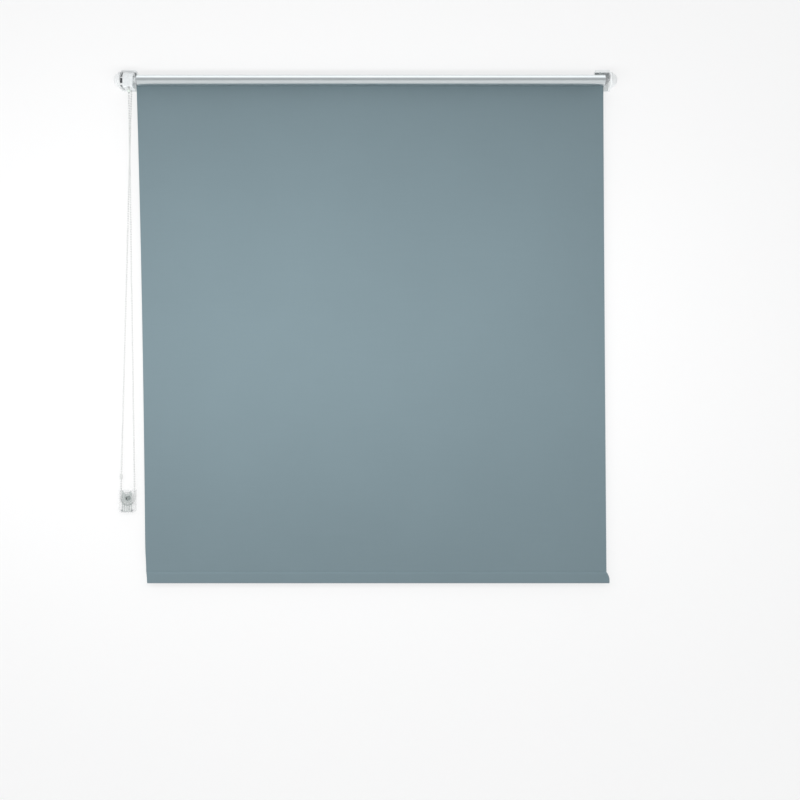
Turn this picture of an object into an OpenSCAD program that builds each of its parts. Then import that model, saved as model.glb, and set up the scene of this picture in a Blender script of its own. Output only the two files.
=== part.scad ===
// Roller blind with a bead-chain drive: an aluminium tube between two plastic brackets, a flat
// fabric panel that hangs from the back of the tube, a weighted hem and a chain tensioner.
// Millimetres. +X runs to the idle end, +Y into the wall, +Z up. The origin lies on the wall
// plane, at the height of the tube's axis and midway between the two brackets.

/* [Blind] */
// Overall width across the two end covers
overall_w = 1232; // [1182:10:1332]
// Drop from the tube's axis to the bottom of the hem
drop = 1232; // [1150:1:1400]
// Thickness of the fabric
fabric_t = 0.45; // [0.3:0.05:0.6]

/* [Roller] */
// Outer diameter of the tube
tube_d = 25; // [24:0.5:26]
// Wall thickness of the tube
tube_wall = 1; // [0.8:0.1:1.2]
// Distance from the wall to the tube's axis
axis_out = 27; // [25:1:32]

/* [Brackets] */
// Thickness of the bracket's cheek plate
cheek_t = 2.2; // [2:0.1:2.4]
// Radius of the cheek's round front
cheek_r = 20; // [19:0.5:22]
// Thickness of the wall and ceiling flanges
flange_t = 3; // [2.5:0.5:4]
// Width of a bracket along the blind
bracket_w = 36; // [32:1:40]
// Radius of the screw holes
screw_hole_r = 2.4; // [2:0.1:3]

/* [Chain] */
// Diameter of a chain bead
bead_d = 4.5; // [4:0.1:4.6]
// Diameter of the chain's cord
cord_d = 1.5; // [1.2:0.1:1.8]
// Depth of the tensioner's pulley centre below the tube's axis
tensioner_drop = 1025; // [700:5:1100]
// Distance of the tensioner's centre from the blind's middle
tensioner_side = 587.4; // [585:0.2:590]

/* [Hem] */
// Height of the hem pocket
pocket_h = 27; // [24:0.5:30]
// Thickness of the hem bar
bar_t = 3.3; // [2.5:0.1:4]
// Height of the hem bar
bar_h = 22; // [18:0.5:23]

/* [Hidden] */

$fn = 48;
plane_gap = 0.05;         // between pieces that touch face to face
run_gap = 0.07;           // radial clearance of a running fit
move_gap = 0.3;           // between pieces that move past each other
half_w = overall_w / 2;

// End cover: a flat rim and a deep hollow dome on it
cover_rim_t = 2;
cover_dome_h = 14.5;
cover_dome_r = 17;
cover_wall = 1.6;
cover_inset = 0.3;
cover_groove = 1;         // shadow gap round the cover, next to the cheek
cover_groove_inset = 2;
peg_r = 1.45;
peg_z = 13;
peg_y = -9;

// Cheek plate, from the middle outwards
cheek_out = half_w - cover_rim_t - cover_dome_h;
cheek_in = cheek_out - cheek_t;
bracket_in = cheek_out - bracket_w;
bracket_z = cheek_r;      // half height of the wall flange
ceiling_deep = 22;
ceiling_z = cheek_r + 4;  // underside of the ceiling flange
bracket_top = ceiling_z + flange_t;
ceiling_lip = [2, 6.4];   // turned-down front edge of the ceiling flange, depth and height
corner_r = 3;             // outer corner of the cheek and the ceiling flange
wall_hole_x = half_w - 38.5;
wall_hole_z = 11;
ceiling_hole_y = [-6, -17];
rib_z = [3, -13];         // ribs between the cheek and the chain guard: middle height,
rib_t = [1.6, 4];         // thickness,
rib_y = -40;              // front edge
rib_len = 3.3;            // and depth

// Chain drive, along X on the drive side
guard_out = half_w - 26.2;     // outer face of the guard's outer half
guard_seam = half_w - 39.5;    // where the guard's halves meet
guard_end = half_w - 50;       // inner face of the guard's inner half
guard_r = 18;
guard_wall = 2;
guard_drop = 21;
guard_corner = 4;
chain_x = -(half_w - 40);      // plane of the drive wheel's beads
exit_r = 3.6;                  // chain exit holes in the guard
wheel_pockets = 14;
bead_pitch = 6;
wheel_r = bead_pitch / 2 / sin(180 / wheel_pockets);
wheel_w = 7.6;
sleeve_r = 7;
sleeve_bore = 5.6;
sleeve_end = half_w - 67.5;
spindle_r = 4;
spindle_end = half_w - 76;
hub_collar_r = 6;
hub_base = [9.4, 14];          // half width along Y, height along Z
hub_key = [10, 5];             // blade that enters the cheek's slot, along Y and Z
spring_wire = 0.9;
spring_turns = 9;

// Tube and what plugs into it
tube_r = tube_d / 2;
bore_r = tube_r - tube_wall;
tube_x0 = -(half_w - 58);
tube_x1 = half_w - 31;
tube_key = [1.4, 1.8];         // rib inside the tube, width and height
driver_end = -spindle_end - 0.4;
plug_r = bore_r - 0.1;
plug_x0 = tube_x1 - 40;
collar_t = 1.2;
plug_dome = 5.8;
pin_r = 3;
pin_head_r = 4.3;
pin_bore = 4.6;
pin_tip = half_w - 17.2;
pin_travel = 7;
pin_head_x = tube_x1 - 4.6;
plug_cap_r = 6.4;
spring_r = 3.4;
pin_spring_wire = 0.7;
pin_spring_turns = 9;
pin_spring_x0 = tube_x1 - 31;

// Fabric: it leaves the back of the tube and hangs straight down
tape_t = 0.18;
wrap_r = tube_r + 0.22;
panel_y = -axis_out + wrap_r + fabric_t / 2;
wrap_arc = 75;
panel_z1 = -(drop - pocket_h);
panel_left = [[-564, 0], [-555, -300], [-547.5, -700], [-540.5, panel_z1]];
panel_right = [[589, panel_z1], [584.5, -600], [584.5, 0]];
pocket_x = [-537, 594];
bar_x = [pocket_x[0] + 1.2, pocket_x[1] - 1.2];
pocket_t = bar_t + 2 * fabric_t + 0.2;
hem_cap_out = 0.8;             // how far the bar's end caps stand out of the pocket
hem_y = panel_y;
hem_z = panel_z1 - move_gap - pocket_h / 2;
hem_height = pocket_h - move_gap;

// Tensioner, against the wall
pulley_pockets = 18;
pulley_r = bead_pitch / 2 / sin(180 / pulley_pockets);
pulley_y = -7;
pulley_w = 6.4;
tens_x = -tensioner_side;
tens_z = -tensioner_drop;
tens_half_w = 20.7;
tens_top = 21;
tens_bottom = 35;
tens_deep = 14;
tens_wall = 2;
tens_side_t = 0.7;             // side walls, thin because the beads pass close to them
axle_r = 4.5;
tens_bore = 2.2;
pad_t = 0.8;                   // raised pad on the cover, with a V between two ears
pad_outline = [
  [-12.2, -33], [12.2, -33], [12.8, 12.6], [9.4, 20.3], [6, 13],
  [1.5, 11.4], [-3, 10.6], [-10.6, 20.6], [-12.2, 20.6]
];
pad_groove = [[-13, -7.4], [-10, -8.6], [0, -11.6], [13, -8.8]];
pad_groove_w = 1.3;
grip_ribs = 5;
grip_pitch = 5.5;
grip_slot = 1.8;
grip_x0 = -(grip_pitch * (grip_ribs - 2) + grip_slot) / 2;
tens_screw_x = 13;
tens_screw_z = -29;

// Chain path: over the drive wheel, down the front, round the pulley, up the back
front_top = [chain_x, -axis_out - wheel_r, 0];
rear_top = [chain_x, -axis_out + wheel_r, 0];
front_low = [tens_x + pulley_r, pulley_y, tens_z];
rear_low = [tens_x - pulley_r, pulley_y, tens_z];
strand_steps = round(norm(front_low - front_top) / bead_pitch);
wheel_steps = wheel_pockets / 2;
pulley_steps = pulley_pockets / 2;
function wheel_point(a) = [chain_x, -axis_out + wheel_r * cos(a), wheel_r * sin(a)];
function pulley_point(a) = [tens_x + pulley_r * cos(a), pulley_y, tens_z - pulley_r * sin(a)];
function between(p, q, t) = p + (q - p) * t;
over_wheel = [for (i = [0:wheel_steps]) wheel_point(180 * i / wheel_steps)];
down_front = [for (i = [1:strand_steps - 1]) between(front_top, front_low, i / strand_steps)];
round_pulley = [for (i = [0:pulley_steps]) pulley_point(180 * i / pulley_steps)];
up_rear = [for (i = [1:strand_steps - 1]) between(rear_low, rear_top, i / strand_steps)];
bead_points = concat(over_wheel, down_front, round_pulley, up_rear);
cord_bends = 24;
cord_points = concat(
  [for (i = [0:cord_bends]) wheel_point(180 * i / cord_bends)],
  [between(front_top, front_low, 0.5)],
  [for (i = [0:cord_bends]) pulley_point(180 * i / cord_bends)],
  [between(rear_low, rear_top, 0.5)]
);
stop_step = 5;                 // bead on the front strand that the stop ball sits on
connector_step = 8;            // bead on the rear strand that the connector joins
stop_r = 4.2;
connector_r = 3.1;
connector_len = 13;

module along_x(x0, x1, r) {
  translate([x0, -axis_out, 0]) rotate([0, 90, 0]) cylinder(h = x1 - x0, r = r);
}

module on_axis(x) {
  translate([x, -axis_out, 0]) rotate([0, 90, 0]) children();
}

// Extrudes an outline drawn in Y and Z from x0 to x1
module slab_x(x0, x1) {
  translate([x0, 0, 0]) rotate([90, 0, 90]) linear_extrude(x1 - x0) children();
}

module to_side(side) {
  mirror([side > 0 ? 1 : 0, 0, 0]) children();
}

module cheek_outline(inset) {
  translate([-axis_out, 0]) circle(r = cheek_r - inset, $fn = 96);
  translate([-axis_out, -cheek_r + inset]) square([axis_out - inset, 2 * (cheek_r - inset)]);
}

// The waste outside a rounded edge that runs along Y at the bracket's top outer corner
module corner_waste() {
  translate([-cheek_out, -ceiling_deep - 1, bracket_top - corner_r]) difference() {
    translate([-1, 0, 0]) cube([corner_r + 1, ceiling_deep + 2, corner_r + 1]);
    translate([corner_r, -1, 0]) rotate([-90, 0, 0]) cylinder(h = ceiling_deep + 4, r = corner_r);
  }
}

// A bracket drawn for the drive side: cheek, wall flange, ceiling flange and a corner gusset
module bracket_body() {
  slab_x(-cheek_out, -cheek_in) {
    cheek_outline(0);
    translate([-ceiling_deep, 0]) square([ceiling_deep, bracket_top]);
  }
  translate([-cheek_out, -ceiling_deep, bracket_top - ceiling_lip[1]])
    cube([bracket_w, ceiling_lip[0], ceiling_lip[1]]);
  translate([-cheek_out, -flange_t, -bracket_z]) cube([bracket_w, flange_t, bracket_z + bracket_top]);
  translate([-cheek_out, -ceiling_deep, ceiling_z]) cube([bracket_w, ceiling_deep, flange_t]);
  slab_x(-bracket_in - 1.6, -bracket_in)
    polygon([[0, 0], [0, ceiling_z + 1], [-15, ceiling_z + 1], [-15, ceiling_z - 1.5]]);
}

module bracket_holes() {
  corner_waste();
  for (z = [-wall_hole_z, wall_hole_z])
    translate([-wall_hole_x, 1, z]) rotate([90, 0, 0]) cylinder(h = flange_t + 2, r = screw_hole_r);
  for (y = ceiling_hole_y)
    translate([-wall_hole_x, y, ceiling_z - 1]) cylinder(h = flange_t + 2, r = screw_hole_r);
  for (z = [-peg_z, peg_z])
    translate([-cheek_out - 1, peg_y, z]) rotate([0, 90, 0]) cylinder(h = cheek_t + 2, r = peg_r + plane_gap);
}

module drive_bracket() {
  color("whitesmoke") difference() {
    union() {
      bracket_body();
      for (i = [0, 1])
        translate([-cheek_in - 0.1, rib_y, rib_z[i] - rib_t[i] / 2])
          cube([cheek_in - guard_out + 0.1 - 2 * plane_gap, rib_len, rib_t[i]]);
    }
    bracket_holes();
    translate([-cheek_out - 1, -axis_out - hub_key[0] / 2 - plane_gap, -hub_key[1] / 2 - plane_gap])
      cube([cheek_t + 2, hub_key[0] + 2 * plane_gap, hub_key[1] + 2 * plane_gap]);
  }
}

module idle_bracket() {
  color("whitesmoke") to_side(1) difference() {
    union() {
      bracket_body();
      along_x(-cheek_in - 0.1, -cheek_in + 1.2, 6);
    }
    bracket_holes();
    along_x(-cheek_out - 1, -cheek_in + 2, pin_r + run_gap);
  }
}

module end_cover(side) {
  dome_sphere = (cover_dome_r * cover_dome_r + cover_dome_h * cover_dome_h) / 2 / cover_dome_h;
  color("white") to_side(side) difference() {
    union() {
      slab_x(-cheek_out - cover_rim_t, -cheek_out - cover_groove) cheek_outline(cover_inset);
      slab_x(-cheek_out - cover_groove - 0.1, -cheek_out - plane_gap) cheek_outline(cover_groove_inset);
      on_axis(-half_w) rotate_extrude($fn = 96) intersection() {
        translate([0, dome_sphere]) circle(r = dome_sphere, $fn = 720);
        square([cover_dome_r, cover_dome_h + cover_rim_t / 2]);
      }
      for (z = [-peg_z, peg_z])
        translate([-cheek_out - cover_rim_t / 2, peg_y, z]) rotate([0, 90, 0])
          cylinder(h = cover_rim_t / 2 + cheek_t - 0.3, r = peg_r);
    }
    on_axis(-half_w) rotate_extrude($fn = 96) intersection() {
      translate([0, dome_sphere]) circle(r = dome_sphere - cover_wall, $fn = 720);
      square([cover_dome_r, cover_dome_h + cover_rim_t + 1]);
    }
  }
}

module drive_end_cover() { end_cover(-1); }

module idle_end_cover() { end_cover(1); }

// Outline of the chain guard in Y and Z: round over the wheel, square where the chain leaves
module guard_outline(r, low) {
  translate([-axis_out, 0]) circle(r = r, $fn = 96);
  translate([-axis_out - r, -low + guard_corner]) square([2 * r, low - guard_corner]);
  translate([-axis_out - r + guard_corner, -low]) square([2 * (r - guard_corner), low]);
  for (side = [-1, 1])
    translate([-axis_out + side * (r - guard_corner), -low + guard_corner]) circle(r = guard_corner);
}

module chain_exits() {
  for (y = [front_top[1] + 0.9, rear_top[1] + 0.2])
    translate([chain_x, y, -guard_drop - 1]) cylinder(h = guard_wall + 3, r = exit_r);
}

module chain_guard_outer() {
  color("white") difference() {
    slab_x(-guard_out, -guard_seam - plane_gap) guard_outline(guard_r, guard_drop);
    slab_x(-guard_out + guard_wall, -guard_seam + 1)
      guard_outline(guard_r - guard_wall, guard_drop - guard_wall);
    along_x(-guard_out - 1, -guard_seam, hub_collar_r + plane_gap);
    chain_exits();
  }
}

module chain_guard_inner() {
  color("white") difference() {
    slab_x(-guard_seam + plane_gap, -guard_end) guard_outline(guard_r, guard_drop);
    slab_x(-guard_seam - 1, -guard_end - guard_wall)
      guard_outline(guard_r - guard_wall, guard_drop - guard_wall);
    along_x(-guard_seam, -guard_end + 1, sleeve_r + move_gap);
    chain_exits();
  }
}

module clutch_hub() {
  wheel_face = chain_x - wheel_w / 2;
  color("gray") difference() {
    union() {
      translate([-cheek_out + 0.1, -axis_out - hub_key[0] / 2, -hub_key[1] / 2])
        cube([cheek_t + 0.5, hub_key[0], hub_key[1]]);
      translate([-cheek_in + plane_gap, -axis_out - hub_base[0], -hub_base[1] / 2])
        cube([cheek_in - guard_out - 2 * plane_gap, 2 * hub_base[0], hub_base[1]]);
      along_x(-guard_out - 0.5, wheel_face - move_gap, hub_collar_r);
      along_x(-guard_out, -spindle_end, spindle_r);
    }
    along_x(-spindle_end - 15, -spindle_end + 1, 1.5);
  }
}

// Close-wound coils that grip the hub, each with one tang that sits in the sleeve's slot
module wrap_spring(x) {
  pitch = spring_wire - 0.05;
  on_axis(x) rotate_extrude() union() {
    for (i = [0:spring_turns - 1])
      translate([spindle_r + 0.04 + spring_wire / 2, spring_wire / 2 + i * pitch])
        circle(d = spring_wire, $fn = 24);
  }
  translate([x + spring_wire / 2, -axis_out, -spindle_r - 0.6]) rotate([180, 0, 0])
    cylinder(h = sleeve_r - spindle_r - 0.9, r = spring_wire / 2, $fn = 24);
}

module wrap_springs() {
  color("silver") {
    wrap_spring(chain_x + 6.5);
    wrap_spring(chain_x + 15.5);
  }
}

module chain_wheel() {
  face = chain_x - wheel_w / 2;
  color("lightgray") difference() {
    union() {
      along_x(face, face + wheel_w, wheel_r + 0.2);
      along_x(face + 1, -sleeve_end, sleeve_r);
    }
    along_x(face - 1, face + wheel_w + 1, spindle_r + run_gap);
    along_x(face + wheel_w + 0.5, -sleeve_end + 1, sleeve_bore);
    translate([face + wheel_w + 1.2, -axis_out - 1.3, -sleeve_r - 1])
      cube([40, 2.6, 2 * sleeve_r + 2]);
    on_axis(chain_x - cord_d / 2 - 0.35) difference() {
      cylinder(h = cord_d + 0.7, r = wheel_r + 2);
      translate([0, 0, -1]) cylinder(h = cord_d + 3, r = wheel_r - cord_d / 2 - 0.3);
    }
    for (i = [0:wheel_pockets - 1])
      translate(wheel_point(360 * i / wheel_pockets)) sphere(d = bead_d + 0.5);
  }
}

module tube_grooves(x0, x1, r) {
  for (a = [0:90:270])
    translate([x0, -axis_out, 0]) rotate([a, 0, 0])
      translate([0, -tube_key[0] / 2 - 0.2, r - tube_key[1] - 0.2]) cube([x1 - x0, tube_key[0] + 0.4, 5]);
}

module tube_driver() {
  color("dimgray") union() {
    difference() {
      union() {
        along_x(tube_x0 - collar_t, tube_x0 - plane_gap, tube_r - 0.1);
        along_x(tube_x0 - collar_t, driver_end, plug_r);
      }
      along_x(tube_x0 - collar_t - 1, -sleeve_end + 0.5, sleeve_r + 0.15);
      along_x(tube_x0, driver_end + 1, spindle_r + 0.1);
      tube_grooves(tube_x0, driver_end + 1, plug_r);
    }
    translate([tube_x0 + 3, -axis_out - 1, sleeve_bore + 0.3])
      cube([10, 2, sleeve_r - sleeve_bore + 0.6]);
  }
}

module hub_washer() {
  color("silver") difference() {
    along_x(-spindle_end + plane_gap, -spindle_end + 0.8, 6);
    along_x(-spindle_end - 1, -spindle_end + 2, 1.7);
  }
}

module hub_screw() {
  color("silver") difference() {
    union() {
      along_x(-spindle_end - 12, -spindle_end + 1.5, 1.45);
      along_x(-spindle_end + 0.85, -spindle_end + 2.8, 3);
    }
    for (a = [0, 90])
      translate([-spindle_end + 1.6, -axis_out, 0]) rotate([a, 0, 0])
        translate([0, -0.35, -1.8]) cube([3, 0.7, 3.6]);
  }
}

module roller_tube() {
  color("silver") union() {
    difference() {
      along_x(tube_x0, tube_x1, tube_r, $fn = 96);
      along_x(tube_x0 - 1, tube_x1 + 1, bore_r, $fn = 96);
    }
    translate([tube_x0, -axis_out - tube_key[0] / 2, bore_r - tube_key[1]])
      cube([tube_x1 - tube_x0, tube_key[0], tube_key[1] + 0.3]);
  }
}

// An arc of sheet on the tube, from a0 to a1 degrees up from the tube's back
module tube_arc(x0, x1, r, t, a0, a1) {
  on_axis(x0) rotate([0, 0, 90 + a0]) rotate_extrude(angle = a1 - a0, $fn = 96)
    translate([r, 0]) square([t, x1 - x0]);
}

module fabric_tape() {
  color("ivory") tube_arc(tube_x0 + 2, panel_right[2][0] - 2, tube_r + 0.02, tape_t, 25, wrap_arc - 5);
}

module fabric_wrap() {
  color("slategray") tube_arc(panel_left[0][0], panel_right[2][0], wrap_r, fabric_t, 0, wrap_arc);
}

module fabric_panel() {
  color("slategray") translate([0, panel_y + fabric_t / 2, -move_gap]) rotate([90, 0, 0])
    linear_extrude(fabric_t) polygon(concat(panel_left, panel_right));
}

module hem_outline(t, h) {
  translate([hem_y - t / 2, hem_z - h / 2 + t / 2]) square([t, h - t]);
  for (side = [-1, 1])
    translate([hem_y, hem_z + side * (h - t) / 2]) circle(d = t, $fn = 32);
}

module hem_pocket() {
  color("slategray") difference() {
    slab_x(pocket_x[0], pocket_x[1]) hem_outline(pocket_t, hem_height - 2 * move_gap);
    slab_x(pocket_x[0] - 1, pocket_x[1] + 1)
      hem_outline(pocket_t - 2 * fabric_t, hem_height - 2 * move_gap - 2 * fabric_t);
  }
}

module hem_bar() {
  color("white") slab_x(bar_x[0], bar_x[1]) hem_outline(bar_t, bar_h);
}

module hem_cap_left() {
  color("white") slab_x(pocket_x[0] - hem_cap_out, bar_x[0] - plane_gap) hem_outline(bar_t, bar_h);
}

module hem_cap_right() {
  color("white") slab_x(bar_x[1] + plane_gap, pocket_x[1] + hem_cap_out) hem_outline(bar_t, bar_h);
}

module idle_plug() {
  color("dimgray") difference() {
    union() {
      along_x(plug_x0, tube_x1 + 1, plug_r);
      along_x(tube_x1 + plane_gap, tube_x1 + 2.6, tube_r - 0.1);
      on_axis(tube_x1 + 2.5) cylinder(h = plug_dome - 2.5, r1 = tube_r - 0.6, r2 = tube_r - 4);
    }
    along_x(pin_spring_x0, tube_x1 + plug_dome + 1, pin_bore);
    along_x(pin_head_x + 4, tube_x1 + plug_dome + 1, plug_cap_r + plane_gap);
    tube_grooves(plug_x0 - 1, tube_x1, plug_r);
  }
}

module plug_cap() {
  color("lightgray") difference() {
    along_x(pin_head_x + 4.1, tube_x1 + plug_dome, plug_cap_r);
    along_x(pin_head_x, tube_x1 + plug_dome + 1, pin_r + run_gap);
  }
}

module idle_pin() {
  color("silver") {
    along_x(pin_head_x, pin_tip - 1, pin_r);
    on_axis(pin_tip - 1) cylinder(h = 1, r1 = pin_r, r2 = pin_r - 0.8);
    along_x(pin_head_x, pin_head_x + 3.5, pin_head_r);
    along_x(pin_head_x - 13, pin_head_x, 2);
  }
}

// A helical wire drawn as rings of a small polygon joined end to end
module pin_spring() {
  length = pin_head_x - 0.4 - pin_spring_x0 - 0.4 - pin_spring_wire;
  sides = 8;
  per_turn = 16;
  steps = per_turn * pin_spring_turns;
  rings = [for (i = [0:steps]) let (a = 360 * i / per_turn, z = length * i / steps)
    [for (k = [0:sides - 1]) let (b = 360 * k / sides, r = spring_r + pin_spring_wire / 2 * cos(b))
      [r * cos(a), r * sin(a), z + pin_spring_wire / 2 * sin(b)]]];
  points = [for (ring = rings) for (p = ring) p];
  faces = concat(
    [[for (k = [0:sides - 1]) k]],
    [for (i = [0:steps - 1]) for (k = [0:sides - 1])
      [i * sides + k, (i + 1) * sides + k, (i + 1) * sides + (k + 1) % sides, i * sides + (k + 1) % sides]],
    [[for (k = [sides - 1:-1:0]) steps * sides + k]]
  );
  color("silver") on_axis(pin_spring_x0 + 0.4 + pin_spring_wire / 2)
    polyhedron(points = points, faces = faces);
}

// The endless cord inside the beads, swept along its path with an eight-sided section
module chain_cord() {
  n = len(cord_points);
  sides = 8;
  rings = [for (i = [0:n - 1]) let (
      p = cord_points[i],
      ahead = cord_points[(i + 1) % n] - cord_points[(i + n - 1) % n],
      t = ahead / norm(ahead),
      side = cross(t, [0, 1, 0] + 1.5 * [1, 0, 0] * (abs(t[1]) > 0.5 ? 1 : 0)),
      u = side / norm(side),
      v = cross(t, u))
    [for (k = [0:sides - 1]) p + cord_d / 2 * (u * cos(360 * k / sides) + v * sin(360 * k / sides))]];
  points = [for (ring = rings) for (p = ring) p];
  faces = [for (i = [0:n - 1]) for (k = [0:sides - 1]) let (j = (i + 1) % n)
    [i * sides + k, i * sides + (k + 1) % sides, j * sides + (k + 1) % sides, j * sides + k]];
  color("white") polyhedron(points = points, faces = faces);
}

// Turns +Z to the direction d and moves to p
module aim(p, d) {
  turn = atan2(norm([d[0], d[1]]), d[2]);
  translate(p) rotate([0, 0, atan2(d[1], d[0])]) rotate([0, turn, 0]) children();
}

module chain_beads() {
  n = len(bead_points);
  color("white") for (i = [0:n - 1])
    aim(bead_points[i], bead_points[(i + 1) % n] - bead_points[(i + n - 1) % n]) difference() {
      sphere(d = bead_d, $fn = 24);
      translate([0, 0, -bead_d]) cylinder(h = 2 * bead_d, r = cord_d / 2 + 0.25, $fn = 16);
    }
}

module chain_connector() {
  p = up_rear[connector_step];
  color("white") aim(p, rear_top - rear_low) difference() {
    union() {
      translate([0, 0, -connector_len / 2]) cylinder(h = connector_len, r = connector_r);
      translate([0, 0, -1.5]) cylinder(h = 3, r = connector_r + 0.5);
    }
    translate([0, 0, -connector_len]) cylinder(h = 2 * connector_len, r = bead_d / 2 + 0.15);
  }
}

module chain_stop() {
  p = down_front[stop_step - 1];
  color("honeydew") aim(p, front_top - front_low) difference() {
    sphere(r = stop_r);
    translate([0, 0, -2 * stop_r]) cylinder(h = 4 * stop_r, r = bead_d / 2 + 0.15);
  }
}

// Outline of the tensioner in X and Z, round below the pulley
module tensioner_outline(inset) {
  hw = tens_half_w - inset;
  translate([tens_x - hw, tens_z - tens_bottom + 8]) square([2 * hw, tens_top + tens_bottom - 8 - inset]);
  translate([tens_x - hw + 8, tens_z - tens_bottom + inset]) square([2 * (hw - 8), 12]);
  for (side = [-1, 1])
    translate([tens_x + side * (hw - 8 + inset), tens_z - tens_bottom + 8]) circle(r = 8 - inset);
}

// Extrudes an outline drawn in X and Z from y0 back to y1, nearer the wall
module slab_y(y0, y1) {
  translate([0, y1, 0]) rotate([90, 0, 0]) linear_extrude(y1 - y0) children();
}

module tensioner_back() {
  color("aliceblue", 0.5) difference() {
    union() {
      slab_y(-tens_wall, 0) tensioner_outline(0);
      difference() {
        slab_y(-tens_deep + tens_wall + plane_gap, -tens_wall / 2) tensioner_outline(0);
        slab_y(-tens_deep, 0) tensioner_outline(tens_side_t);
        translate([tens_x - tens_half_w + tens_side_t, -tens_deep, tens_z])
          cube([2 * (tens_half_w - tens_side_t), tens_deep, tens_top + 1]);
      }
      translate([tens_x, -tens_wall / 2, tens_z]) rotate([90, 0, 0])
        cylinder(h = tens_deep - tens_wall * 1.5 - plane_gap, r = axle_r);
      for (side = [-1, 1])
        translate([tens_x + side * tens_screw_x, -tens_wall / 2, tens_z + tens_screw_z]) rotate([90, 0, 0])
          cylinder(h = tens_deep - tens_wall * 1.5 - plane_gap, r = 3);
    }
    translate([tens_x, 1, tens_z]) rotate([90, 0, 0]) cylinder(h = tens_deep + 2, r = tens_bore);
    for (side = [-1, 1])
      translate([tens_x + side * tens_screw_x, -tens_wall, tens_z + tens_screw_z]) rotate([90, 0, 0])
        cylinder(h = tens_deep, r = 1.05);
  }
}

module tensioner_cover() {
  front = -tens_deep + tens_wall;
  color("aliceblue", 0.5) difference() {
    union() {
      slab_y(-tens_deep, front) tensioner_outline(0);
      difference() {
        slab_y(-tens_deep - pad_t, -tens_deep + 0.1) translate([tens_x, tens_z]) polygon(pad_outline);
        slab_y(-tens_deep - pad_t - 1, -tens_deep) translate([tens_x, tens_z])
          polygon(concat(pad_groove,
            [for (i = [len(pad_groove) - 1:-1:0]) pad_groove[i] - [0, pad_groove_w]]));
        for (i = [0:grip_ribs - 2])
          translate([tens_x + grip_x0 + i * grip_pitch, -tens_deep - pad_t - 1, tens_z - 31])
            cube([grip_slot, pad_t + 1, 17]);
      }
    }
    translate([tens_x, 1, tens_z]) rotate([90, 0, 0]) cylinder(h = tens_deep + 3, r = tens_bore);
    for (side = [-1, 1])
      translate([tens_x + side * tens_screw_x, 0, tens_z + tens_screw_z]) rotate([90, 0, 0]) {
        cylinder(h = tens_deep + 3, r = 1.3);
        translate([0, 0, tens_deep]) cylinder(h = 3, r = 2.3);
      }
  }
}

module tensioner_screws() {
  color("silver") for (side = [-1, 1])
    translate([tens_x + side * tens_screw_x, 0, tens_z + tens_screw_z]) rotate([90, 0, 0]) {
      translate([0, 0, 5]) cylinder(h = tens_deep - 5 + 0.5, r = 1);
      translate([0, 0, tens_deep + plane_gap]) cylinder(h = 1.2, r = 2);
    }
}

module tensioner_pulley() {
  rim = pulley_r - bead_d / 2 + 1.4;
  groove = pulley_r - bead_d / 2 - 0.4;
  color("white") translate([tens_x, pulley_y + pulley_w / 2, tens_z]) rotate([90, 0, 0]) difference() {
    cylinder(h = pulley_w, r = rim, $fn = 96);
    translate([0, 0, pulley_w / 2]) rotate_extrude($fn = 96) translate([groove + bead_d / 2 + 0.4, 0])
      circle(r = bead_d / 2 + 0.4, $fn = 24);
    translate([0, 0, -1]) cylinder(h = pulley_w + 2, r = axle_r + run_gap);
    for (a = [30:60:330])
      rotate([0, 0, a]) translate([8.6, 0, -1]) cylinder(h = pulley_w + 2, r = 2);
  }
}

drive_bracket();
idle_bracket();
drive_end_cover();
idle_end_cover();
chain_guard_outer();
chain_guard_inner();
clutch_hub();
wrap_springs();
chain_wheel();
tube_driver();
hub_washer();
hub_screw();
roller_tube();
fabric_tape();
fabric_wrap();
fabric_panel();
hem_pocket();
hem_bar();
hem_cap_left();
hem_cap_right();
idle_plug();
plug_cap();
idle_pin();
pin_spring();
chain_cord();
chain_beads();
chain_connector();
chain_stop();
tensioner_back();
tensioner_cover();
tensioner_pulley();
tensioner_screws();
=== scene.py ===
"""Roller blind with a bead-chain drive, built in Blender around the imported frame."""

import math

import bmesh
import bpy
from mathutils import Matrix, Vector, noise


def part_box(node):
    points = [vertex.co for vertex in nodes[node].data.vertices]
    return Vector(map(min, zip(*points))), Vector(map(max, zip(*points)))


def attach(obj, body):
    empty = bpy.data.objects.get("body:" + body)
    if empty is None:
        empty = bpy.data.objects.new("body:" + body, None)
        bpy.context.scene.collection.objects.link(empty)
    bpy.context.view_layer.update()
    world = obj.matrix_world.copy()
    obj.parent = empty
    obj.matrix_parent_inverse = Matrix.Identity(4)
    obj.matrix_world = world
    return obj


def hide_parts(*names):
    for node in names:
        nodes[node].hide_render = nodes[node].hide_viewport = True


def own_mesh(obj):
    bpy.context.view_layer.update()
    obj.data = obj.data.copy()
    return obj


MM = 0.001

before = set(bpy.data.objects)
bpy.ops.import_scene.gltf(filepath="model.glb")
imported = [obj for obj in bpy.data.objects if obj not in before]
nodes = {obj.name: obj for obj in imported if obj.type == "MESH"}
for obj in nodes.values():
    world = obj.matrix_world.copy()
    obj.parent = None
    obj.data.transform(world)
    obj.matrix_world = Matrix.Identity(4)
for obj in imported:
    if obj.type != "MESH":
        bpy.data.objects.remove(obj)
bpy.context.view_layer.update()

# ---------------------------------------------------------------------------
# Places, worked out from the frame
# ---------------------------------------------------------------------------
tube_lo, tube_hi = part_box("roller_tube")
panel_lo, panel_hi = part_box("fabric_panel")
pocket_lo, pocket_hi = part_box("hem_pocket")
wrap_lo, wrap_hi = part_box("fabric_wrap")
tens_cover_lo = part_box("tensioner_cover")[0]
pulley_lo, pulley_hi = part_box("tensioner_pulley")
TUBE_R = (tube_hi.z - tube_lo.z) / 2
AXIS_Y = (tube_lo.y + tube_hi.y) / 2
PANEL_Y = (panel_lo.y + panel_hi.y) / 2
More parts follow.
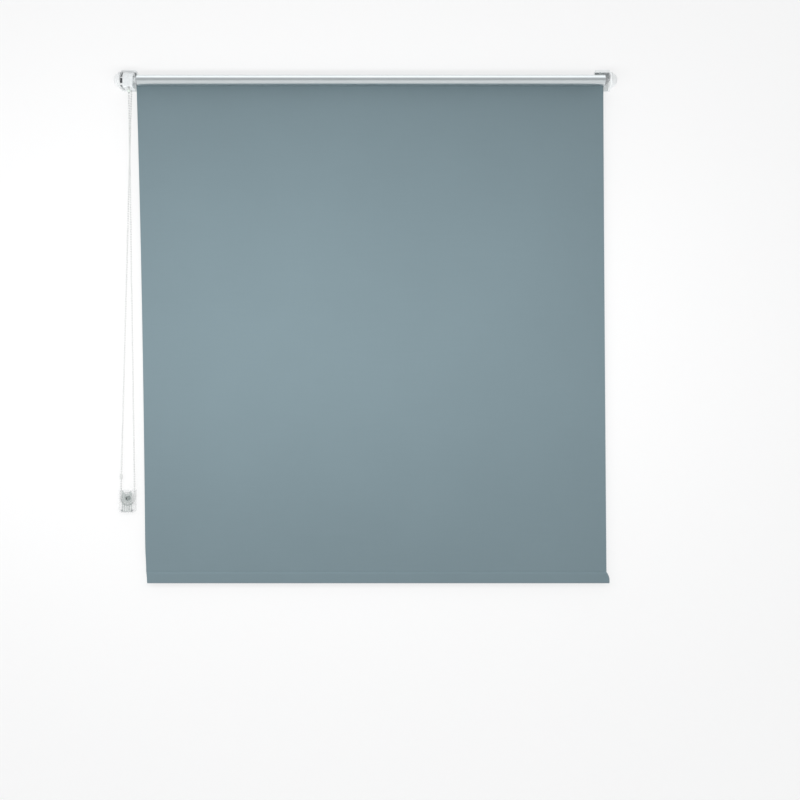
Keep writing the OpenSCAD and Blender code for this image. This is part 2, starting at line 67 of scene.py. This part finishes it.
FABRIC_T = panel_hi.y - panel_lo.y


# ---------------------------------------------------------------------------
# Camera: level, in front of the blind, a little below its middle and to the right
# ---------------------------------------------------------------------------
CAMERA_X = 84.4 * MM
CAMERA_Z = -782.4 * MM
CAMERA_AWAY = 2400 * MM
FOCAL_MM = 43.9
SENSOR_MM = 36
FAR_CLIP = 50  # metres


def make_camera():
    data = bpy.data.cameras.new("camera")
    data.lens = FOCAL_MM
    data.sensor_width = SENSOR_MM
    data.clip_end = FAR_CLIP
    camera = bpy.data.objects.new("camera", data)
    bpy.context.scene.collection.objects.link(camera)
    camera.location = (CAMERA_X, PANEL_Y - CAMERA_AWAY, CAMERA_Z)
    camera.rotation_euler = (math.radians(90), 0, 0)
    bpy.context.scene.camera = camera


make_camera()


# ---------------------------------------------------------------------------
# Materials
# ---------------------------------------------------------------------------
class Shader:
    """A small helper that builds one node material."""

    def __init__(self, name):
        self.material = bpy.data.materials.new(name)
        self.material.use_nodes = True
        self.tree = self.material.node_tree
        self.tree.nodes.clear()
        self.output = self.tree.nodes.new("ShaderNodeOutputMaterial")
        self.surface = self.tree.nodes.new("ShaderNodeBsdfPrincipled")
        self.join(self.surface.outputs[0], self.output.inputs["Surface"])
        self.coords = self.tree.nodes.new("ShaderNodeTexCoord").outputs["Object"]

    def join(self, a, b):
        self.tree.links.new(a, b)

    def set(self, **values):
        for key, value in values.items():
            self.surface.inputs[key.replace("_", " ")].default_value = value

    def mapping(self, scale):
        node = self.tree.nodes.new("ShaderNodeMapping")
        node.inputs["Scale"].default_value = scale
        self.join(self.coords, node.inputs["Vector"])
        return node.outputs["Vector"]

    def noise(self, scale, detail=3.0, rough=0.5, stretch=(1, 1, 1)):
        node = self.tree.nodes.new("ShaderNodeTexNoise")
        node.inputs["Scale"].default_value = scale
        node.inputs["Detail"].default_value = detail
        node.inputs["Roughness"].default_value = rough
        self.join(self.mapping(stretch), node.inputs["Vector"])
        return node.outputs["Fac"]

    def math(self, kind, a, b=None, c=None):
        node = self.tree.nodes.new("ShaderNodeMath")
        node.operation = kind
        for socket, value in zip(node.inputs, (a, b, c)):
            if value is None:
                continue
            if isinstance(value, (int, float)):
                socket.default_value = value
            else:
                self.join(value, socket)
        return node.outputs[0]

    def axis(self, name):
        node = self.tree.nodes.new("ShaderNodeSeparateXYZ")
        self.join(self.coords, node.inputs[0])
        return node.outputs[name]

    def ramp(self, fac, low, high, start=0.0, end=1.0):
        node = self.tree.nodes.new("ShaderNodeMapRange")
        node.inputs["From Min"].default_value = start
        node.inputs["From Max"].default_value = end
        node.inputs["To Min"].default_value = low
        node.inputs["To Max"].default_value = high
        self.join(fac, node.inputs["Value"])
        return node.outputs[0]

    def tint(self, fac, dark, light):
        node = self.tree.nodes.new("ShaderNodeMix")
        node.data_type = "RGBA"
        node.inputs["A"].default_value = (*dark, 1)
        node.inputs["B"].default_value = (*light, 1)
        self.join(fac, node.inputs["Factor"])
        self.join(node.outputs["Result"], self.surface.inputs["Base Color"])

    def bump(self, height, distance, strength=1.0):
        node = self.tree.nodes.new("ShaderNodeBump")
        node.inputs["Strength"].default_value = strength
        node.inputs["Distance"].default_value = distance
        self.join(height, node.inputs["Height"])
        self.join(node.outputs["Normal"], self.surface.inputs["Normal"])


def shade(colour, factor):
    return tuple(c * factor for c in colour)


THREAD = 0.42 * MM
WEAVE_DEPTH = 0.05 * MM
MOULD_GRAIN = 0.02 * MM
SKIN_DEPTH = 2 * MM
DIE_LINE_DEPTH = 0.02 * MM
FLOW_DEPTH = 0.06 * MM


def woven(name, colour):
    """A close plain weave: threads along X and Z, slubs along both, and a faint cloudiness."""
    s = Shader(name)
    turn = 2 * math.pi / THREAD
    warp = s.math("SINE", s.math("MULTIPLY", s.axis("X"), turn))
    weft = s.math("SINE", s.math("MULTIPLY", s.axis("Z"), turn))
    weave = s.math("MULTIPLY", warp, weft)
    slub_up = s.noise(60, 2, 0.5, (6, 6, 0.25))
    slub_across = s.noise(60, 2, 0.5, (0.25, 6, 6))
    cloud = s.noise(2.2, 3, 0.55)
    slubs = s.math("ADD", slub_up, slub_across)
    mix = s.math("MULTIPLY_ADD", slubs, 0.18, s.math("MULTIPLY", cloud, 0.6))
    mix = s.math("MULTIPLY_ADD", weave, 0.05, mix)
    s.tint(mix, shade(colour, 0.9), shade(colour, 1.1))
    s.join(s.ramp(slub_up, 0.72, 0.86), s.surface.inputs["Roughness"])
    s.set(Sheen_Weight=0.25, Sheen_Roughness=0.4, IOR=1.45, Specular_IOR_Level=0.3)
    s.bump(s.math("MULTIPLY_ADD", slubs, 0.6, weave), WEAVE_DEPTH, 0.5)
    return s.material


def moulded(name, colour, rough, coat=0.0, translucent=0.0):
    """Injection-moulded plastic: a fine grain, slight sink and faint handling marks."""
    s = Shader(name)
    cloud = s.noise(45, 3, 0.6)
    fine = s.noise(2600, 2, 0.5)
    marks = s.noise(320, 4, 0.7, (1, 3, 0.4))
    s.tint(cloud, shade(colour, 0.95), shade(colour, 1.03))
    s.join(s.ramp(marks, rough - 0.07, rough + 0.09, 0.3, 0.7), s.surface.inputs["Roughness"])
    s.set(IOR=1.5, Coat_Weight=coat, Coat_Roughness=0.15, Subsurface_Weight=translucent)
    s.surface.inputs["Subsurface Radius"].default_value = (1, 1, 1)
    s.surface.inputs["Subsurface Scale"].default_value = SKIN_DEPTH
    s.bump(s.math("MULTIPLY_ADD", fine, 0.5, cloud), MOULD_GRAIN, 0.6)
    return s.material


def metal(name, colour, rough):
    """Drawn or extruded metal, with die lines along X."""
    s = Shader(name)
    lines = s.noise(1400, 3, 0.6, (0.02, 1, 1))
    cloud = s.noise(14, 3, 0.6)
    mix = s.math("MULTIPLY_ADD", lines, 0.5, s.math("MULTIPLY", cloud, 0.5))
    s.tint(mix, shade(colour, 0.92), shade(colour, 1.05))
    s.join(s.ramp(lines, rough - 0.06, rough + 0.1), s.surface.inputs["Roughness"])
    s.set(Metallic=1.0, Anisotropic=0.4)
    s.bump(lines, DIE_LINE_DEPTH, 0.5)
    return s.material


def clear_plastic(name, solid, painted_shade, inside):
    """Clear moulded plastic with faint flow marks.

    The pair after solid gives the colour and the solidity of a patch of painted shade: a darker grey that
    stands in for how thick clear plastic darkens through refraction, on the part that inside, a mask, picks
    out.
    """
    s = Shader(name)
    flow = s.noise(120, 3, 0.6, (1, 1, 0.4))
    s.tint(flow, shade(CLEAR_TINT, 0.95), shade(CLEAR_TINT, 1.05))
    s.join(s.ramp(flow, 0.05, 0.16), s.surface.inputs["Roughness"])
    opacity = s.ramp(flow, solid * 0.85, solid * 1.15)
    s.set(IOR=1.49, Coat_Weight=0.2, Coat_Roughness=0.05)
    s.bump(flow, FLOW_DEPTH, 0.4)
    # painted shade: a darker, nearly opaque patch where the clear plastic is thick; grain speckles its
    # opacity
    painted_shade_colour, painted_shade_solid = painted_shade
    mask = inside(s)
    grain = s.ramp(s.noise(900, 2, 0.5), painted_shade_solid * 0.9, painted_shade_solid * 1.1)
    opacity = s.math("MULTIPLY_ADD", mask, s.math("SUBTRACT", grain, opacity), opacity)
    mix = s.tree.nodes.new("ShaderNodeMix")
    mix.data_type = "RGBA"
    s.join(s.surface.inputs["Base Color"].links[0].from_socket, mix.inputs["A"])
    mix.inputs["B"].default_value = (*painted_shade_colour, 1)
    s.join(mask, mix.inputs["Factor"])
    s.join(mix.outputs["Result"], s.surface.inputs["Base Color"])
    s.join(opacity, s.surface.inputs["Alpha"])
    return s.material


CLEAR_TINT = (0.62, 0.66, 0.66)
PAD_T = 0.8 * MM
PAD_MARGIN = 0.15 * MM
HUB_R = 5.5 * MM
HUB_BLEND = 0.3 * MM


def local(node, point):
    """A point of the row frame, in a CAD node's own frame."""
    return nodes[node].matrix_world.inverted() @ Vector(point)


def on_pad(s):
    """The textured pad that stands proud of the tensioner's cover, where the clear plastic gets painted
    shade.
    """
    plate = local("tensioner_cover", tens_cover_lo).y + PAD_T - PAD_MARGIN
    return s.math("LESS_THAN", s.axis("Y"), plate)


def at_axle(s, node):
    """Round the pulley's axle, where the clear plastic gets painted shade."""
    hub = local(node, (pulley_lo + pulley_hi) / 2)
    across = s.math("SUBTRACT", s.axis("X"), hub.x)
    up = s.math("SUBTRACT", s.axis("Z"), hub.z)
    radius = s.math("SQRT", s.math("MULTIPLY_ADD", across, across, s.math("MULTIPLY", up, up)))
    return s.ramp(radius, 1.0, 0.0, HUB_R - HUB_BLEND, HUB_R + HUB_BLEND)


def at_hub(s):
    return at_axle(s, "tensioner_pulley")


def at_post(s):
    return at_axle(s, "tensioner_back")


FABRIC_COLOUR = (0.177, 0.239, 0.264)
fabric = woven("blind_fabric", FABRIC_COLOUR)
hem_fabric = woven("hem_fabric", FABRIC_COLOUR)
white = moulded("bracket_white", (0.86, 0.875, 0.875), 0.32, translucent=0.15)
guard_white = moulded("guard_white", (0.77, 0.795, 0.80), 0.28, coat=0.2, translucent=0.1)
chain_white = moulded("chain_white", (0.68, 0.69, 0.68), 0.25, translucent=0.1)
stop_white = moulded("stop_translucent", (0.76, 0.82, 0.77), 0.25, translucent=0.3)
bar_white = moulded("bar_plastic", (0.78, 0.79, 0.79), 0.45)
grey = moulded("hub_grey", (0.10, 0.105, 0.11), 0.5)
plug_grey = moulded("plug_grey", (0.28, 0.29, 0.295), 0.45)
tape = moulded("tape_cream", (0.62, 0.58, 0.47), 0.5)
aluminium = metal("tube_aluminium", (0.72, 0.76, 0.77), 0.3)
steel = metal("zinc_steel", (0.56, 0.57, 0.58), 0.32)
# the post, the proud pad and the pulley's hub get painted shade: a darker grey for the thick clear plastic
# there
clear = clear_plastic("tensioner_clear", 0.06, ((0.15, 0.17, 0.165), 0.8), at_post)
clear_front = clear_plastic("tensioner_front", 0.06, ((0.34, 0.38, 0.37), 0.58), on_pad)
clear_pulley = clear_plastic("tensioner_pulley", 0.07, ((0.13, 0.145, 0.14), 0.95), at_hub)

NODE_MATERIALS = {
    "drive_bracket": white, "idle_bracket": white, "drive_end_cover": white, "idle_end_cover": white,
    "chain_guard_outer": guard_white, "chain_guard_inner": guard_white, "chain_wheel": guard_white,
    "clutch_hub": grey, "tube_driver": plug_grey, "idle_plug": plug_grey, "plug_cap": plug_grey,
    "wrap_springs": steel, "hub_washer": steel, "hub_screw": steel, "idle_pin": steel, "pin_spring": steel,
    "tensioner_screws": steel, "roller_tube": aluminium, "fabric_tape": tape,
    "fabric_wrap": fabric, "fabric_panel": fabric, "hem_pocket": fabric,
    "hem_bar": bar_white, "hem_cap_left": bar_white, "hem_cap_right": bar_white,
    "chain_cord": chain_white, "chain_beads": chain_white, "chain_connector": chain_white,
    "chain_stop": stop_white, "tensioner_back": clear, "tensioner_cover": clear_front,
    "tensioner_pulley": clear_pulley,
}
for node_name, material in NODE_MATERIALS.items():
    mesh = nodes[node_name].data
    mesh.materials.clear()
    mesh.materials.append(material)


# ---------------------------------------------------------------------------
# Mesh helpers
# ---------------------------------------------------------------------------
SHARP_ANGLE = math.radians(50)


def add_piece(name, mesh_data, material, body, node_name):
    """A new piece of cloth from a bmesh, in the row frame, riding on one CAD body."""
    mesh = bpy.data.meshes.new(name)
    mesh_data.to_mesh(mesh)
    mesh_data.free()
    mesh.materials.append(material)
    mesh.shade_smooth()
    mesh.set_sharp_from_angle(angle=SHARP_ANGLE)
    piece = bpy.data.objects.new(name, mesh)
    bpy.context.scene.collection.objects.link(piece)
    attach(piece, body)
    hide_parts(node_name)
    return piece


def shell(front, back):
    """A closed sheet between two grids of points."""
    bm = bmesh.new()
    rows, cols = len(front), len(front[0])
    f = [[bm.verts.new(p) for p in row] for row in front]
    b = [[bm.verts.new(p) for p in row] for row in back]
    for i in range(rows - 1):
        for j in range(cols - 1):
            k = j + 1
            bm.faces.new((f[i][j], f[i][k], f[i + 1][k], f[i + 1][j]))
            bm.faces.new((b[i][j], b[i + 1][j], b[i + 1][k], b[i][k]))
    for j in range(cols - 1):
        k = j + 1
        bm.faces.new((f[0][k], f[0][j], b[0][j], b[0][k]))
        bm.faces.new((f[-1][j], f[-1][k], b[-1][k], b[-1][j]))
    for i in range(rows - 1):
        bm.faces.new((f[i][0], f[i + 1][0], b[i + 1][0], b[i][0]))
        bm.faces.new((f[i + 1][-1], f[i][-1], b[i][-1], b[i + 1][-1]))
    bmesh.ops.recalc_face_normals(bm, faces=bm.faces)
    return bm


def smooth(t):
    """0 below 0, 1 above 1, and an S-curve between."""
    t = min(1.0, max(0.0, t))
    return t * t * (3 - 2 * t)


def hump(value, centre, width):
    """1 at centre, falling to 0 like a bell."""
    return math.exp(-(((value - centre) / width) ** 2))


# ---------------------------------------------------------------------------
# Fabric panel: its left edge leans in on its way down, its right edge leans out,
# and it has the faint creases of a sheet that was packed rolled
# ---------------------------------------------------------------------------
PANEL_COLS = 150
PANEL_ROWS = 190
panel_drop = -panel_lo.z
top_left = wrap_lo.x
top_right = wrap_hi.x
LEFT_LEAN = 22.3 * MM
LEFT_DECAY = 1.2
CORNER_PULL = 1.8 * MM
CORNER_PULL_H = 70 * MM
RIGHT_LEAN = 7.8 * MM
RIGHT_CURVE = 1.15
# slow waves, and finer ones just above the hem
WAVE_DEPTH = 0.9 * MM
WAVE_FADE_IN = 300 * MM
WAVE_FADE_OUT = 70 * MM
PACKED_DEPTH = 0.22 * MM
PACKED_FROM = 1060 * MM
PACKED_FADE_IN = 60 * MM
PACKED_FADE_OUT = 12 * MM
# two creases across the cloth, one from each side: depth, drop, width
LEFT_CREASE = (0.34 * MM, 1112 * MM, 3.2 * MM)
LEFT_CREASE_END, LEFT_CREASE_FADE = 0.10, 0.12
RIGHT_CREASE = (0.38 * MM, 1129 * MM, 3.0 * MM)
RIGHT_CREASE_START, RIGHT_CREASE_FADE = 0.46, 0.06
# soft upright folds below the tube: place across, width, share of the depth
PUCKERS = ((-0.494, 0.013, 1.0), (-0.26, 0.018, 0.8), (0.09, 0.022, 0.5))
PUCKER_DEPTH = 0.30 * MM
PUCKER_FADE_IN = 20 * MM
PUCKER_FADE_OUT = 300 * MM


def left_edge(z):
    s = -z / panel_drop
    lean = LEFT_LEAN * (1 - math.exp(-LEFT_DECAY * s)) / (1 - math.exp(-LEFT_DECAY))
    return top_left + lean + CORNER_PULL * smooth(1 - (panel_drop + z) / CORNER_PULL_H)


def right_edge(z):
    return top_right + RIGHT_LEAN * (max(0.0, -z) / panel_drop) ** RIGHT_CURVE


def panel_relief(x, z):
    """How far the cloth stands in front of its flat plane."""
    drop = -z
    above_hem = panel_drop - drop
    lie = WAVE_DEPTH * noise.noise(Vector((x * 2.1, 3.7, z * 1.3)))
    lie *= smooth(drop / WAVE_FADE_IN) * smooth(above_hem / WAVE_FADE_OUT)
    packed = PACKED_DEPTH * noise.noise(Vector((x * 9, 1.3, z * 34)))
    packed *= smooth((drop - PACKED_FROM) / PACKED_FADE_IN) * smooth(above_hem / PACKED_FADE_OUT)
    depth, place, width = LEFT_CREASE
    crease = depth * hump(drop, place, width) * smooth((LEFT_CREASE_END - x) / LEFT_CREASE_FADE)
    depth, place, width = RIGHT_CREASE
    crease += depth * hump(drop, place, width) * smooth((x - RIGHT_CREASE_START) / RIGHT_CREASE_FADE)
    pucker = sum(share * hump(x, place, width) for place, width, share in PUCKERS)
    pucker *= PUCKER_DEPTH * smooth(drop / PUCKER_FADE_IN) * (1 - smooth(drop / PUCKER_FADE_OUT))
    return lie + packed + crease + pucker


def spread(count, first, last, tight):
    """Positions from first to last, closer together at both ends."""
    out = []
    for i in range(count + 1):
        t = i / count
        eased = 0.5 - 0.5 * math.cos(math.pi * t)
        out.append(first + (last - first) * ((1 - tight) * t + tight * eased))
    return out


def make_panel():
    bottom = panel_lo.z
    heights = [bottom * (i / PANEL_ROWS) ** 0.9 for i in range(PANEL_ROWS + 1)]
    across = spread(PANEL_COLS, 0.0, 1.0, 0.97)
    front, back = [], []
    for z in heights:
        left, right = left_edge(z), right_edge(z)
        row_front, row_back = [], []
        for t in across:
            x = left + (right - left) * t
            y = PANEL_Y - panel_relief(x, z)
            row_front.append((x, y - FABRIC_T / 2, z))
            row_back.append((x, y + FABRIC_T / 2, z))
        front.append(row_front)
        back.append(row_back)
    return add_piece("panel_cloth", shell(front, back), fabric, "frame", "fabric_panel")


panel = make_panel()
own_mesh(panel)

# ---------------------------------------------------------------------------
# The cloth on the tube: a strip taped along it, from the back up towards the top
# ---------------------------------------------------------------------------
WRAP_ARC = math.radians(75)
WRAP_STEPS = 18
TAPE_GAP = 0.22 * MM  # room for the tape between tube and cloth
WRAP_END_LIFT = 0.25 * MM
WRAP_END_STEPS = 3


def make_wrap():
    inner = TUBE_R + TAPE_GAP
    stations = spread(60, wrap_lo.x, wrap_hi.x, 0.9)
    inside, outside = [], []
    for i in range(WRAP_STEPS + 1):
        a = WRAP_ARC * i / WRAP_STEPS
        lift = WRAP_END_LIFT * smooth((i - WRAP_STEPS + WRAP_END_STEPS) / WRAP_END_STEPS)
        rows = []
        for r in (inner + lift, inner + FABRIC_T + lift):
            rows.append([(x, AXIS_Y + r * math.cos(a), r * math.sin(a)) for x in stations])
        inside.append(rows[0])
        outside.append(rows[1])
    return add_piece("cloth_on_tube", shell(inside, outside), fabric, "roller", "fabric_wrap")


wrap = make_wrap()

# ---------------------------------------------------------------------------
# Hem pocket: the cloth goes down in front of the bar, round under it and up behind,
# and is welded to itself along the top, where the panel's lower edge meets it
# ---------------------------------------------------------------------------
HEM_Y = (pocket_lo.y + pocket_hi.y) / 2
POCKET_SLACK = 0.12 * MM
POCKET_R = (pocket_hi.y - pocket_lo.y) / 2 - FABRIC_T / 2 + POCKET_SLACK
WELD_H = 0.7 * MM
OPENING_H = 3.0 * MM
WELD_LAP = 2.0 * MM
WELD_OFFSET = FABRIC_T * 1.05  # between the two layers at the weld
GROOVE_DEPTH = 0.12 * MM
SAG_DEPTH = 0.1 * MM
LEFT_FLARE = 2.9 * MM
RIGHT_FLARE = 7.0 * MM
HEM_GAP = 0.02 * MM
HEM_SAG = 1.4 * MM  # the cloth hangs this far below the CAD pocket
hem_top = panel_lo.z - HEM_GAP
hem_bottom = pocket_lo.z - HEM_SAG
hem_left = left_edge(panel_lo.z)
hem_right = right_edge(panel_lo.z)


def pocket_ends(z):
    """The pocket starts where the panel ends, and its two ends slant to the right on their way down."""
    down = min(1.0, max(0.0, (hem_top - z) / (hem_top - hem_bottom)))
    left = hem_left + LEFT_FLARE * math.sqrt(down)
    return left, hem_right + RIGHT_FLARE * math.sin(math.pi / 2 * min(1.0, 1.5 * down))


def pocket_line():
    """The middle of the cloth, end on: (y, z) from the front's top, under the bar, to the back's top."""
    low = hem_bottom + FABRIC_T / 2 + POCKET_R
    front, back = [], []
    for i in range(25):
        z = hem_top - (hem_top - low) * (i / 24) ** 1.2
        out = smooth((hem_top - WELD_H - z) / OPENING_H)
        below_opening = hem_top - WELD_H - OPENING_H - 3 * MM
        groove = GROOVE_DEPTH * (hump(z, hem_top, 0.5 * MM) + hump(z, below_opening, 1.2 * MM))
        front.append((HEM_Y - POCKET_R * out + groove, z))
        back.append((HEM_Y + WELD_OFFSET + (POCKET_R - WELD_OFFSET) * out, z))
    under = [math.pi * i / 12 for i in range(1, 12)]
    fold = [(HEM_Y - POCKET_R * math.cos(a), low - POCKET_R * math.sin(a)) for a in under]
    lap = [(HEM_Y + WELD_OFFSET, hem_top + WELD_LAP)]
    return front + fold + back[::-1] + lap


def make_pocket():
    line = pocket_line()
    sides = []
    for i, (y, z) in enumerate(line):
        y0, z0 = line[max(0, i - 1)]
        y1, z1 = line[min(len(line) - 1, i + 1)]
        size = math.hypot(y1 - y0, z1 - z0)
        out = Vector((z1 - z0, y0 - y1)) / size * FABRIC_T / 2
        sides.append(((y + out.x, z + out.y), (y - out.x, z - out.y)))
    ends = [pocket_ends(z) for y, z in line]
    front, back = [], []
    for t in spread(90, 0.0, 1.0, 0.95):
        row_front, row_back = [], []
        for (a, b), (left, right) in zip(sides, ends):
            x = left + (right - left) * t
            sag = SAG_DEPTH * noise.noise(Vector((x * 7, 0.4, 2.0))) * smooth((hem_top - a[1]) / (8 * MM))
            row_front.append((x, a[0] + sag, a[1]))
            row_back.append((x, b[0] + sag, b[1]))
        front.append(row_front)
        back.append(row_back)
    return add_piece("hem_cloth", shell(front, back), hem_fabric, "hem", "hem_pocket")


hem_cloth = make_pocket()
hem_line = pocket_line()

# ---------------------------------------------------------------------------
# Bead chain: over the drive wheel, down the front, round the pulley, up the back
# ---------------------------------------------------------------------------
PITCH = 6 * MM
BEAD_R = 2.25 * MM
CORD_R = 0.75 * MM
WHEEL_POCKETS = 14
PULLEY_POCKETS = 18
WHEEL_HALF_W = 3.8 * MM
BEAD_AROUND = 12
BEAD_RINGS = 8
CORD_SIDES = 6
chain_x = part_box("chain_wheel")[0].x + WHEEL_HALF_W
pulley_c = (pulley_lo + pulley_hi) / 2
wheel_r = PITCH / 2 / math.sin(math.pi / WHEEL_POCKETS)
pulley_r = PITCH / 2 / math.sin(math.pi / PULLEY_POCKETS)


def wheel_point(a):
    return Vector((chain_x, AXIS_Y + wheel_r * math.cos(a), wheel_r * math.sin(a)))


def pulley_point(a):
    return pulley_c + Vector((pulley_r * math.cos(a), 0, -pulley_r * math.sin(a)))


def chain_points():
    on_wheel = WHEEL_POCKETS // 2
    on_pulley = PULLEY_POCKETS // 2
    turn_top = [wheel_point(math.pi * i / on_wheel) for i in range(on_wheel + 1)]
    turn_low = [pulley_point(math.pi * i / on_pulley) for i in range(on_pulley + 1)]
    steps = round((turn_low[0] - turn_top[-1]).length / PITCH)
    down = [turn_top[-1].lerp(turn_low[0], i / steps) for i in range(1, steps)]
    up = [turn_low[-1].lerp(turn_top[0], i / steps) for i in range(1, steps)]
    return turn_top + down + turn_low + up


def sphere_template(radius, around, rings):
    """Points and faces of a small sphere whose poles lie on Z."""
    points = [Vector((0, 0, radius))]
    for i in range(1, rings):
        lat = math.pi * i / rings
        for j in range(around):
            lon = 2 * math.pi * j / around
            out = math.sin(lat)
            points.append(radius * Vector((out * math.cos(lon), out * math.sin(lon), math.cos(lat))))
    points.append(Vector((0, 0, -radius)))
    last = len(points) - 1
    faces = []
    for j in range(around):
        k = (j + 1) % around
        faces.append((0, 1 + j, 1 + k))
        for i in range(rings - 2):
            a, b = 1 + i * around, 1 + (i + 1) * around
            faces.append((a + j, b + j, b + k, a + k))
        low = last - around
        faces.append((last, low + k, low + j))
    return points, faces


def chain_piece(name, points, faces, node_name):
    """A piece of the chain, straight from points and faces."""
    mesh = bpy.data.meshes.new(name)
    mesh.from_pydata(points, [], faces)
    mesh.materials.append(chain_white)
    mesh.shade_smooth()
    piece = bpy.data.objects.new(name, mesh)
    bpy.context.scene.collection.objects.link(piece)
    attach(piece, "frame")
    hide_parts(node_name)


def make_beads(points):
    ball, ball_faces = sphere_template(BEAD_R, BEAD_AROUND, BEAD_RINGS)
    all_points, all_faces = [], []
    for i, p in enumerate(points):
        along = points[(i + 1) % len(points)] - points[i - 1]
        turn = along.to_track_quat("Z", "Y")
        first = len(all_points)
        all_points += [p + turn @ q for q in ball]
        all_faces += [tuple(first + v for v in face) for face in ball_faces]
    chain_piece("bead_run", all_points, all_faces, "chain_beads")


def make_line(points):
    sides = CORD_SIDES
    n = len(points)
    rings = []
    u = None
    for i, p in enumerate(points):
        along = (points[(i + 1) % n] - points[i - 1]).normalized()
        u = along.orthogonal().normalized() if u is None else (u - u.dot(along) * along).normalized()
        v = along.cross(u)
        turns = [2 * math.pi * k / sides for k in range(sides)]
        rings.append([p + CORD_R * (u * math.cos(a) + v * math.sin(a)) for a in turns])
    # the last ring joins the first where their corners lie nearest each other
    shift = min(range(sides), key=lambda k: (rings[-1][0] - rings[0][k]).length)
    faces = []
    for i in range(n):
        step = shift if i == n - 1 else 0
        j = (i + 1) % n
        for k in range(sides):
            k2 = (k + 1) % sides
            a, b = j * sides + (k + step) % sides, j * sides + (k2 + step) % sides
            faces.append((i * sides + k, i * sides + k2, b, a))
    all_points = [q for ring in rings for q in ring]
    chain_piece("chain_line", all_points, faces, "chain_cord")


loop = chain_points()
make_beads(loop)
make_line(loop)


# ---------------------------------------------------------------------------
# Moulded and extruded parts: real edges are rounded
# ---------------------------------------------------------------------------
BRACKET_EDGE = 0.45 * MM
SMALL_EDGE = 0.25 * MM
BRACKETS = ("drive_bracket", "idle_bracket")
COVERS = ("drive_end_cover", "idle_end_cover")
GUARDS = ("chain_guard_outer", "chain_guard_inner")


def soften(node, width):
    thing = nodes[node]
    weld = thing.modifiers.new("weld", "WELD")
    weld.merge_threshold = 0.002 * MM
    edge = thing.modifiers.new("edge", "BEVEL")
    edge.width = width
    edge.segments = 2
    edge.limit_method = "ANGLE"
    edge.angle_limit = math.radians(40)
    edge.use_clamp_overlap = True
    edge.harden_normals = True


for name in BRACKETS + GUARDS:
    soften(name, BRACKET_EDGE)
for name in COVERS + ("hem_cap_left", "hem_cap_right", "tensioner_back", "tensioner_cover"):
    soften(name, SMALL_EDGE)


# ---------------------------------------------------------------------------
# Stage and light
# ---------------------------------------------------------------------------
WALL_GAP = 1.5 * MM
WALL_MIDDLE = -0.6
WALL_COLOUR = (0.26,) * 3
WALL_GLOW = 0.7
FLOOR_Z = -2.3
FLOOR_COLOUR = (0.85,) * 3


def make_plane(name, size, location, rotation, material):
    mesh = bpy.data.meshes.new(name)
    h = size / 2
    mesh.from_pydata([(-h, -h, 0), (h, -h, 0), (h, h, 0), (-h, h, 0)], [], [(0, 1, 2, 3)])
    plane = bpy.data.objects.new(name, mesh)
    plane.location = location
    plane.rotation_euler = rotation
    plane.data.materials.append(material)
    bpy.context.scene.collection.objects.link(plane)


def stage_paint(name, colour, one_sided=False, glow=0.0):
    s = Shader(name)
    s.tint(s.noise(3, 2), shade(colour, 0.995), colour)
    s.set(Roughness=0.9, Specular_IOR_Level=0.1, Emission_Color=(1, 1, 1, 1), Emission_Strength=glow)
    if one_sided:
        # the wall shows only from the front, so that the blind's back can be seen too
        back = s.tree.nodes.new("ShaderNodeNewGeometry").outputs["Backfacing"]
        through = s.tree.nodes.new("ShaderNodeBsdfTransparent")
        mix = s.tree.nodes.new("ShaderNodeMixShader")
        s.join(back, mix.inputs[0])
        s.join(s.surface.outputs[0], mix.inputs[1])
        s.join(through.outputs[0], mix.inputs[2])
        s.join(mix.outputs[0], s.output.inputs["Surface"])
    return s.material


wall_paint = stage_paint("wall_paint", WALL_COLOUR, True, WALL_GLOW)
make_plane("wall", 9, (0, WALL_GAP, WALL_MIDDLE), (math.radians(90), 0, 0), wall_paint)
make_plane("floor", 14, (0, 0, FLOOR_Z), (0, 0, 0), stage_paint("floor_paint", FLOOR_COLOUR))


def area_light(name, location, target, size, power):
    data = bpy.data.lights.new(name, "AREA")
    data.shape = "RECTANGLE"
    data.size, data.size_y = size
    data.energy = power
    light = bpy.data.objects.new(name, data)
    light.location = location
    light.visible_camera = False
    light.visible_glossy = False
    light.rotation_euler = (Vector(target) - Vector(location)).to_track_quat("-Z", "Y").to_euler()
    bpy.context.scene.collection.objects.link(light)
    return light


area_light("front", (-0.3, -0.9, -0.6), (-0.3, 0, -0.6), size=(2.0, 0.2), power=8.7)
# small fills from below and inside, which light only the hardware at the tube's two ends
hardware = bpy.data.collections.new("end_hardware")
for name in BRACKETS + COVERS + GUARDS + ("idle_plug",):
    hardware.objects.link(nodes[name])
for name, side, power in (("fill_right", 1, 1.2), ("fill_left", -1, 0.4)):
    fill = area_light(name, (0.2 * side, -0.13, -0.28), (0.6 * side, -0.03, 0), size=(0.1, 0.1), power=power)
    fill.light_linking.receiver_collection = hardware

# the sky is brightest overhead
world = bpy.data.worlds.new("studio")
world.use_nodes = True
tree = world.node_tree
sky_up = tree.nodes.new("ShaderNodeSeparateXYZ")
sky_range = tree.nodes.new("ShaderNodeMapRange")
tree.links.new(tree.nodes.new("ShaderNodeTexCoord").outputs["Generated"], sky_up.inputs[0])
tree.links.new(sky_up.outputs["Z"], sky_range.inputs["Value"])
sky_range.interpolation_type = "SMOOTHSTEP"
for socket, value in (("From Min", 0.45), ("From Max", 0.9), ("To Min", 0.52), ("To Max", 1.5)):
    sky_range.inputs[socket].default_value = value
tree.links.new(sky_range.outputs[0], tree.nodes["Background"].inputs["Strength"])
tree.nodes["Background"].inputs["Color"].default_value = (0.98, 0.99, 1.0, 1)
bpy.context.scene.world = world
bpy.context.scene.view_settings.view_transform = "Standard"
